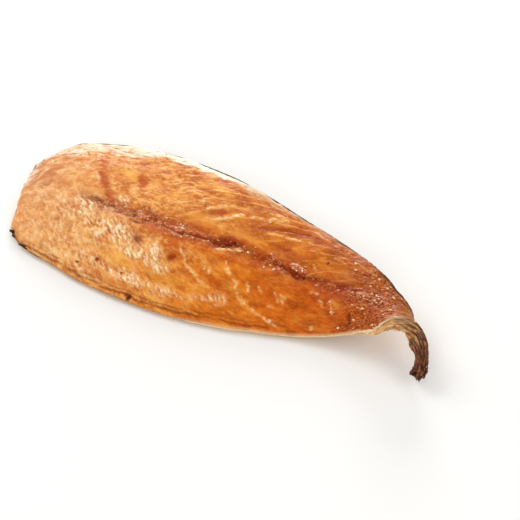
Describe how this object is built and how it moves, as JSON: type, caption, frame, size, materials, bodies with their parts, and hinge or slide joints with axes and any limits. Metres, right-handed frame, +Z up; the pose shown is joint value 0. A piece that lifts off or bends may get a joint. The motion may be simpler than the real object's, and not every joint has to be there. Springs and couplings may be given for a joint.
{
  "type": "smoked fish fillet",
  "caption": "Smoked mackerel fillet lying on its skin, flesh side up, with a thin belly edge, a thick back and a dried tail hooked down to the table.",
  "frame": {"origin": "on the table, under the middle of the fillet's bounding box", "axes": "+X along the fillet from the head cut to the tail, +Y from the thin belly edge to the thick back, +Z up"},
  "size_m": [0.2368, 0.0902, 0.0256],
  "materials": {
    "smoked_flesh": "glossy orange-brown smoked flesh with a dry golden-bronze skin below",
    "skin": "dry golden-bronze fish skin with dark wavy bars on the back, a thin rind clinging to the flesh"
  },
  "bodies": {
    "root": {"fillet": "smoked_flesh"}
  },
  "joints": []
}
